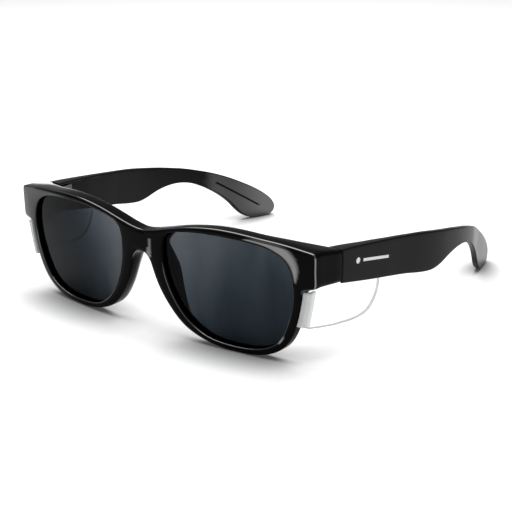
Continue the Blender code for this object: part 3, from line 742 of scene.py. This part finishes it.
def make_mark(label, side):
    """A plain printed bar and dot on the outer face of the temple."""
    points, faces = [], []

    def patch(outline):
        start = len(points)
        points.extend((temple_x(y) + MARK_LIFT, y, z) for y, z in outline)
        faces.append(tuple(range(start, len(points))))

    direction = np.array(MARK_DIRECTION)
    across = direction[::-1] * (-1.0, 1.0)
    origin = np.array(MARK_START)
    for k in range(MARK_CELLS):
        low, high = MARK_LENGTH * k / MARK_CELLS, MARK_LENGTH * (k + 1) / MARK_CELLS
        ends = [(low, -1.0), (high, -1.0), (high, 1.0), (low, 1.0)]
        patch([origin + direction * a + across * b * MARK_WIDTH / 2 for a, b in ends])
    centre = origin - direction * DOT_DISTANCE
    turns = np.linspace(0, 2 * math.pi, DOT_SIDES + 1)[:-1]
    patch([centre + MARK_WIDTH * (direction * math.cos(t) + across * math.sin(t)) for t in turns])
    obj = add_object(f"side_mark_{label}", np.array(points) * (side, 1, 1), faces)
    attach(obj, f"{label}_temple")
    return obj


def make_temple(label, side):
    stations = np.array(TEMPLE_STATIONS)
    chords = np.linalg.norm(np.diff(stations[:, :2], axis=0), axis=1)
    chords = np.maximum(chords, np.linalg.norm(np.diff(stations[:, 2:], axis=0), axis=1))
    counts = np.maximum(2, np.round(chords / TEMPLE_STEP)).astype(int)
    before = 2 * stations[0] - stations[1]
    after = 2 * stations[-1] - stations[-2]
    rows = np.vstack([spline(stations, counts, before, after), stations[-1:]])
    bevel = np.array([TEMPLE_END, 0.0, TEMPLE_END, 0.0])
    sections = [temple_section(rows[0, :2], rows[0, 2:], TEMPLE_END)]
    sections += [temple_section(*np.split(rows[0] + bevel, 2))]
    sections += [temple_section(row[:2], row[2:]) for row in rows[1:]]
    points, faces = loft(sections)
    obj = add_object(f"temple_moulding_{label}", points * (side, 1, 1), faces)
    # Stores the painted sheen that sets how strongly the temple tip reflects.
    add_painted_reflection(obj, temple_painted_sheen)
    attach(obj, f"{label}_temple")
    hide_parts(f"temple_{label}")
    return obj


# ---------------------------------------------------------------- side shields
def shield_x(y, z):
    """Outer face of the shield, which runs from the flange's corner into line with the temple."""
    lead = read_line(FLANGE_OUTER, z)
    rear = temple_x(np.maximum(y, TEMPLE_BOW[0][0])) - SHIELD_INSET
    return lead + (rear - lead) * share_between(y, (FLANGE_Y, TEMPLE_STATIONS[0][0]))


def plate_section(outer_x, outer_y, inner_x, inner_y, z):
    """Outer points from the bottom up, then inner points down again, with the edges between them eased."""
    outer = np.column_stack([outer_x, outer_y, z])
    inner = np.column_stack([inner_x, inner_y, z])[::-1]
    shares = np.array([[SHIELD_EASE], [1.0 - SHIELD_EASE]])
    top = outer[-1] + (inner[0] - outer[-1]) * shares
    bottom = inner[-1] + (outer[0] - inner[-1]) * shares
    rise = (0.0, 0.0, SHIELD_EASE * SHIELD_THICKNESS)
    outer[-1] -= rise
    inner[0] -= rise
    outer[0] += rise
    inner[-1] += rise
    return np.vstack([outer, top, inner, bottom])


def flange_sections(shares):
    """Sections from the flange's inner edge to the end of its bend into the plate."""
    rows = len(shares)
    z = FLANGE_Z[0] + (FLANGE_Z[1] - FLANGE_Z[0]) * shares
    corner = read_line(FLANGE_OUTER, z)
    edge = read_line(FLANGE_INNER, z)
    front = np.full(rows, FLANGE_Y)
    back = front + SHIELD_THICKNESS
    sections = [plate_section(edge, front, edge, back, z)]
    outer_round, inner_round = FLANGE_ROUNDS
    for share in (0.25, 0.5, 0.75):
        x = edge + (corner - outer_round - edge) * share
        sections.append(plate_section(x, front, x, back, z))
    for turn in np.linspace(0.0, math.pi / 2, 6):
        sine, cosine = math.sin(turn), math.cos(turn)
        lead = shield_x(front + outer_round * (1.0 - cosine), z)
        outer_x = lead - outer_round * (1.0 - sine)
        inner_x = lead - SHIELD_THICKNESS - inner_round * (1.0 - sine)
        inner_y = back + inner_round * (1.0 - cosine)
        sections.append(plate_section(outer_x, front + outer_round * (1.0 - cosine), inner_x, inner_y, z))
    return sections


def shield_rows():
    """Lower and upper ends of each section of the plate, with the tongue's top on its own line."""
    stations = np.array(SHIELD_STATIONS)
    rows = []
    for part in (stations[:4], stations[4:]):
        chords = np.linalg.norm(np.diff(part[:, :2], axis=0), axis=1)
        counts = np.maximum(1, np.round(chords / SHIELD_STEP)).astype(int)
        before, after = 2 * part[0] - part[1], 2 * part[-1] - part[-2]
        rows += [spline(part, counts, before, after), part[-1:]]
    rows = np.vstack(rows)
    tongue = rows[:, 2] > TONGUE_FROM
    rows[tongue, 3] = read_line(TONGUE_LINE, rows[tongue, 2])
    return rows


def make_shield(label, side):
    count = len(SHIELD_SHARES)
    shares = np.array(SHIELD_SHARES)
    sections = flange_sections(shares)
    flange = len(sections)
    for low_y, low_z, top_y, top_z in shield_rows():
        y = low_y + (top_y - low_y) * shares
        z = low_z + (top_z - low_z) * shares
        outer = shield_x(y, z)
        sections.append(plate_section(outer, y, outer - SHIELD_THICKNESS, y, z))
    points, faces = loft(sections)
    size = len(sections[0])
    obj = add_object(f"clear_shield_{label}", points * (side, 1, 1), faces, weld=0.0)
    # The eased strips between the two faces, which show the plate's edge.
    border = {0, 2 * count, 2 * count + 1, 2 * count + 2, 2 * count + 3}
    for index, polygon in enumerate(obj.data.polygons):
        around = (index - 1) % size
        along = (index - 1) // size
        if index == 0 or index == len(obj.data.polygons) - 1 or around in border:
            polygon.material_index = 1
        elif along < flange:
            polygon.material_index = 2
    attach(obj, f"{label}_temple")
    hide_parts(f"side_shield_{label}")
    return obj


# ---------------------------------------------------------------- materials
def new_material(name):
    material = bpy.data.materials.new(name)
    material.use_nodes = True
    tree = material.node_tree
    return material, tree, tree.nodes["Principled BSDF"]


def add_noise(tree, scale, detail=4.0):
    coords = tree.nodes.new("ShaderNodeTexCoord")
    noise = tree.nodes.new("ShaderNodeTexNoise")
    noise.inputs["Scale"].default_value = scale
    noise.inputs["Detail"].default_value = detail
    tree.links.new(coords.outputs["Object"], noise.inputs["Vector"])
    return noise


def add_range(tree, source, low, high, from_low=0.3, from_high=0.7):
    ranged = tree.nodes.new("ShaderNodeMapRange")
    ranged.inputs["From Min"].default_value = from_low
    ranged.inputs["From Max"].default_value = from_high
    ranged.inputs["To Min"].default_value = low
    ranged.inputs["To Max"].default_value = high
    tree.links.new(source, ranged.inputs["Value"])
    return ranged.outputs["Result"]


def add_bump(tree, shader, source, distance):
    bump = tree.nodes.new("ShaderNodeBump")
    bump.inputs["Distance"].default_value = distance
    bump.inputs["Strength"].default_value = 1.0
    tree.links.new(source, bump.inputs["Height"])
    tree.links.new(bump.outputs["Normal"], shader.inputs["Normal"])


def plastic(name, colour, roughness, bump_mm):
    """Black moulding whose reflection strength follows the painted highlights and sheen stored on the mesh,
    with faint mottling and a fine texture.
    """
    material, tree, shader = new_material(name)
    shader.inputs["IOR"].default_value = PLASTIC_IOR
    painted_reflection = tree.nodes.new("ShaderNodeAttribute")
    painted_reflection.attribute_name = "painted_reflection"
    wide = add_noise(tree, 60.0)
    fine = add_noise(tree, 1500.0)
    mottled = tree.nodes.new("ShaderNodeMix")
    mottled.data_type = "RGBA"
    mottled.inputs["A"].default_value = (*colour, 1.0)
    mottled.inputs["B"].default_value = (*[1.5 * c for c in colour], 1.0)
    tree.links.new(wide.outputs["Fac"], mottled.inputs["Factor"])
    tree.links.new(mottled.outputs["Result"], shader.inputs["Base Color"])
    tree.links.new(add_range(tree, wide.outputs["Fac"], *roughness), shader.inputs["Roughness"])
    # Painted reflection: the specular level rises where highlights and sheen are painted on the mesh.
    level = add_range(tree, painted_reflection.outputs["Fac"], *PAINTED_REFLECTION_LEVELS, 0.0, 1.0)
    tree.links.new(level, shader.inputs["Specular IOR Level"])
    add_bump(tree, shader, fine.outputs["Fac"], bump_mm * MM)
    return material


def add_mix(tree, factor, first, second):
    """The first shader where factor is 0 and the second where it is 1."""
    mix = tree.nodes.new("ShaderNodeMixShader")
    tree.links.new(factor, mix.inputs["Fac"])
    tree.links.new(first, mix.inputs[1])
    tree.links.new(second, mix.inputs[2])
    return mix.outputs["Shader"]


def add_math(tree, operation, first, second):
    """A math node fed by sockets or by plain values."""
    node = tree.nodes.new("ShaderNodeMath")
    node.operation = operation
    for socket, value in zip(node.inputs, (first, second)):
        if isinstance(value, (int, float)):
            socket.default_value = value
        else:
            tree.links.new(value, socket)
    return node.outputs["Value"]


def add_gloss_weight(tree, low, high):
    """Gloss from low, seen straight on, to high at a grazing angle, the same on both sides of a sheet."""
    layer = tree.nodes.new("ShaderNodeLayerWeight")
    layer.inputs["Blend"].default_value = 0.5
    raised = add_math(tree, "POWER", layer.outputs["Facing"], 5.0)
    return add_range(tree, raised, low, high, 0.0, 1.0)


def finish_surface(tree, shader_output):
    output = next(n for n in tree.nodes if n.type == "OUTPUT_MATERIAL")
    tree.links.new(shader_output, output.inputs["Surface"])


def lens_material():
    """Smoke-grey tint, lighter towards the top and the nose, with faint clouding and gloss."""
    material, tree, _ = new_material("tinted_polycarbonate")
    coords = tree.nodes.new("ShaderNodeTexCoord")
    split = tree.nodes.new("ShaderNodeSeparateXYZ")
    tree.links.new(coords.outputs["Object"], split.inputs["Vector"])
    right_lens = add_range(tree, split.outputs["X"], -0.5, 0.5, -60 * MM, -16 * MM)
    left_lens = add_range(tree, split.outputs["X"], 0.5, 0.2, 12 * MM, 40 * MM)
    inward = add_math(tree, "MINIMUM", right_lens, left_lens)
    upward = add_range(tree, split.outputs["Z"], 0.14, 0.46, 4 * MM, 43 * MM)
    blend = add_math(tree, "ADD", inward, upward)
    cloud = add_noise(tree, 90.0, 2.0)
    stretch = tree.nodes.new("ShaderNodeMapping")
    stretch.inputs["Scale"].default_value = (1.0, 1.0, 0.2)
    stretch.inputs["Rotation"].default_value = (0.0, math.radians(18.0), 0.0)
    tree.links.new(coords.outputs["Object"], stretch.inputs["Vector"])
    tree.links.new(stretch.outputs["Vector"], cloud.inputs["Vector"])
    blend = add_math(tree, "ADD", blend, add_range(tree, cloud.outputs["Fac"], -LENS_CLOUD, LENS_CLOUD))
    ramp = tree.nodes.new("ShaderNodeValToRGB")
    stops = ramp.color_ramp.elements
    stops[0].position, stops[0].color = 0.1, (*LENS_DARK, 1.0)
    stops[1].position, stops[1].color = 0.95, (*LENS_LIGHT, 1.0)
    stops.new(0.5).color = (*LENS_MIDDLE, 1.0)
    tree.links.new(blend, ramp.inputs["Fac"])
    tint = tree.nodes.new("ShaderNodeBsdfTransparent")
    tree.links.new(ramp.outputs["Color"], tint.inputs["Color"])
    glossy = tree.nodes.new("ShaderNodeBsdfGlossy")
    glossy.inputs["Color"].default_value = (0.95, 0.97, 1.0, 1.0)
    noise = add_noise(tree, 40.0)
    tree.links.new(add_range(tree, noise.outputs["Fac"], 0.02, 0.06), glossy.inputs["Roughness"])
    weight = add_gloss_weight(tree, *LENS_GLOSS)
    finish_surface(tree, add_mix(tree, weight, tint.outputs["BSDF"], glossy.outputs["BSDF"]))
    return material


def clear_material():
    """Clear plastic of the shields, nearly invisible straight on."""
    material, tree, _ = new_material("clear_polycarbonate")
    clear = tree.nodes.new("ShaderNodeBsdfTransparent")
    clear.inputs["Color"].default_value = (0.98, 0.982, 0.982, 1.0)
    glossy = tree.nodes.new("ShaderNodeBsdfGlossy")
    noise = add_noise(tree, 50.0)
    tree.links.new(add_range(tree, noise.outputs["Fac"], 0.03, 0.1), glossy.inputs["Roughness"])
    weight = add_gloss_weight(tree, *SHIELD_GLOSS)
    finish_surface(tree, add_mix(tree, weight, clear.outputs["BSDF"], glossy.outputs["BSDF"]))
    return material


def frosted_material(name, colour, roughness, milk):
    """Milky grey of cut or moulded edges in clear plastic."""
    material, tree, shader = new_material(name)
    noise = add_noise(tree, 400.0)
    shader.inputs["Base Color"].default_value = (0.7, 0.71, 0.72, 1.0)
    rough = add_range(tree, noise.outputs["Fac"], roughness, roughness + 0.15)
    tree.links.new(rough, shader.inputs["Roughness"])
    veil = tree.nodes.new("ShaderNodeBsdfTransparent")
    veil.inputs["Color"].default_value = (*colour, 1.0)
    share = add_range(tree, noise.outputs["Fac"], milk, milk + 0.1)
    finish_surface(tree, add_mix(tree, share, veil.outputs["BSDF"], shader.outputs["BSDF"]))
    return material


def mark_material():
    material, tree, shader = new_material("printed_mark")
    noise = add_noise(tree, 900.0)
    shader.inputs["Base Color"].default_value = (0.75, 0.75, 0.75, 1.0)
    tree.links.new(add_range(tree, noise.outputs["Fac"], 0.4, 0.6), shader.inputs["Roughness"])
    return material


def steel_material():
    material, tree, shader = new_material("blackened_steel")
    shader.inputs["Metallic"].default_value = 1.0
    noise = add_noise(tree, 700.0)
    worn = tree.nodes.new("ShaderNodeMix")
    worn.data_type = "RGBA"
    worn.inputs["A"].default_value = (0.05, 0.05, 0.053, 1.0)
    worn.inputs["B"].default_value = (0.13, 0.13, 0.13, 1.0)
    tree.links.new(noise.outputs["Fac"], worn.inputs["Factor"])
    tree.links.new(worn.outputs["Result"], shader.inputs["Base Color"])
    tree.links.new(add_range(tree, noise.outputs["Fac"], 0.25, 0.45), shader.inputs["Roughness"])
    add_bump(tree, shader, noise.outputs["Fac"], 0.01 * MM)
    return material


def paint(obj, *materials):
    """Fills the material slots in order. The faces keep the slot that they already name."""
    slots = obj.data.materials
    while len(slots) < len(materials):
        slots.append(None)
    for index, material in enumerate(materials):
        slots[index] = material


# ---------------------------------------------------------------- studio
def make_floor():
    """White floor with painted light and shade: it glows a little more away from the object, and a painted
    contact shadow darkens it where it is close.
    """
    mesh = bpy.data.meshes.new("floor")
    corners = [(FLOOR_HALF * x, FLOOR_HALF * y, 0) for x, y in ((-1, -1), (1, -1), (1, 1), (-1, 1))]
    mesh.from_pydata(corners, [], [(0, 1, 2, 3)])
    floor = bpy.data.objects.new("floor", mesh)
    bpy.context.scene.collection.objects.link(floor)
    material, tree, shader = new_material("floor_white")
    shader.inputs["Roughness"].default_value = 0.7
    shader.inputs["Specular IOR Level"].default_value = 0.1
    shader.inputs["Emission Color"].default_value = (1.0, 1.0, 1.0, 1.0)
    # Painted contact shadow: ambient occlusion darkens the floor's colour close under the object.
    contact_shadow = tree.nodes.new("ShaderNodeAmbientOcclusion")
    contact_shadow.inputs["Distance"].default_value = CONTACT_SHADOW_REACH
    contact_shadow.samples = 16
    tone = tree.nodes.new("ShaderNodeMix")
    tone.data_type = "RGBA"
    tone.inputs["A"].default_value = (FLOOR_SHADE, FLOOR_SHADE, FLOOR_SHADE, 1.0)
    tone.inputs["B"].default_value = (FLOOR_WHITE, FLOOR_WHITE, FLOOR_WHITE, 1.0)
    openness = add_range(tree, contact_shadow.outputs["AO"], 0.0, 1.0, *CONTACT_SHADOW_SPAN)
    tree.links.new(openness, tone.inputs["Factor"])
    tree.links.new(tone.outputs["Result"], shader.inputs["Base Color"])
    # Painted light: emission that grows with distance from the middle of the floor.
    coords = tree.nodes.new("ShaderNodeTexCoord")
    away = tree.nodes.new("ShaderNodeVectorMath")
    away.operation = "LENGTH"
    tree.links.new(coords.outputs["Object"], away.inputs[0])
    glow = add_range(tree, away.outputs["Value"], 0.05, 0.25, 0.12, 0.5)
    tree.links.new(glow, shader.inputs["Emission Strength"])
    mesh.materials.append(material)


def add_overhead():
    """One square softbox, turned towards the middle of the floor."""
    light = bpy.data.lights.new("overhead", "AREA")
    light.shape = "RECTANGLE"
    light.size = light.size_y = LIGHT_SIZE
    light.energy = LIGHT_POWER
    obj = bpy.data.objects.new("overhead", light)
    bpy.context.scene.collection.objects.link(obj)
    obj.location = LIGHT_PLACE
    obj.rotation_euler = (-Vector(LIGHT_PLACE)).to_track_quat("-Z", "Y").to_euler()


def make_studio():
    make_floor()
    scene = bpy.context.scene
    scene.view_settings.view_transform = "Standard"
    scene.world = bpy.data.worlds.new("studio")
    scene.world.use_nodes = True
    background = scene.world.node_tree.nodes["Background"]
    background.inputs["Color"].default_value = (1.0, 1.0, 1.0, 1.0)
    background.inputs["Strength"].default_value = WORLD_LIGHT
    add_overhead()


def make_camera():
    """Camera fitted to the photograph's outline, aimed a little to the side of its target and below it."""
    azimuth, elevation = math.radians(AZIMUTH), math.radians(ELEVATION)
    level = math.cos(elevation)
    back = Vector((math.sin(azimuth) * level, -math.cos(azimuth) * level, math.sin(elevation)))
    right = Vector((math.cos(azimuth), math.sin(azimuth), 0.0))
    up = back.cross(right)
    camera = bpy.data.cameras.new("camera")
    camera.sensor_width = 36.0
    camera.lens = FOCAL_LENGTH
    camera.clip_start = 0.01
    obj = bpy.data.objects.new("camera", camera)
    bpy.context.scene.collection.objects.link(obj)
    obj.location = Vector(CAMERA_TARGET) + back * CAMERA_DISTANCE
    sight = -back + right * AIM_RIGHT - up * AIM_DOWN
    obj.rotation_mode = "QUATERNION"
    obj.rotation_quaternion = sight.to_track_quat("-Z", "Y")
    bpy.context.scene.camera = obj


def main():
    make_camera()
    make_studio()
    gloss = plastic("gloss_black_moulding", (0.002, 0.002, 0.0022), (0.08, 0.13), 0.003)
    satin = plastic("satin_black_moulding", (0.003, 0.003, 0.0032), (0.26, 0.34), 0.006)
    tinted = lens_material()
    clear = clear_material()
    edge = frosted_material("clear_edge", (0.5, 0.51, 0.52), 0.2, 0.1)
    flange = frosted_material("frosted_flange", (0.68, 0.69, 0.69), 0.35, 0.6)
    mark = mark_material()
    steel = steel_material()
    paint(make_front(), gloss)
    for label, side in (("left", 1), ("right", -1)):
        paint(make_lens(label, side), tinted)
        paint(make_temple(label, side), satin)
        paint(make_mark(label, side), mark)
        paint(make_shield(label, side), clear, edge, flange)
    for node in NODES.values():
        if not node.hide_render:
            paint(node, steel)


main()
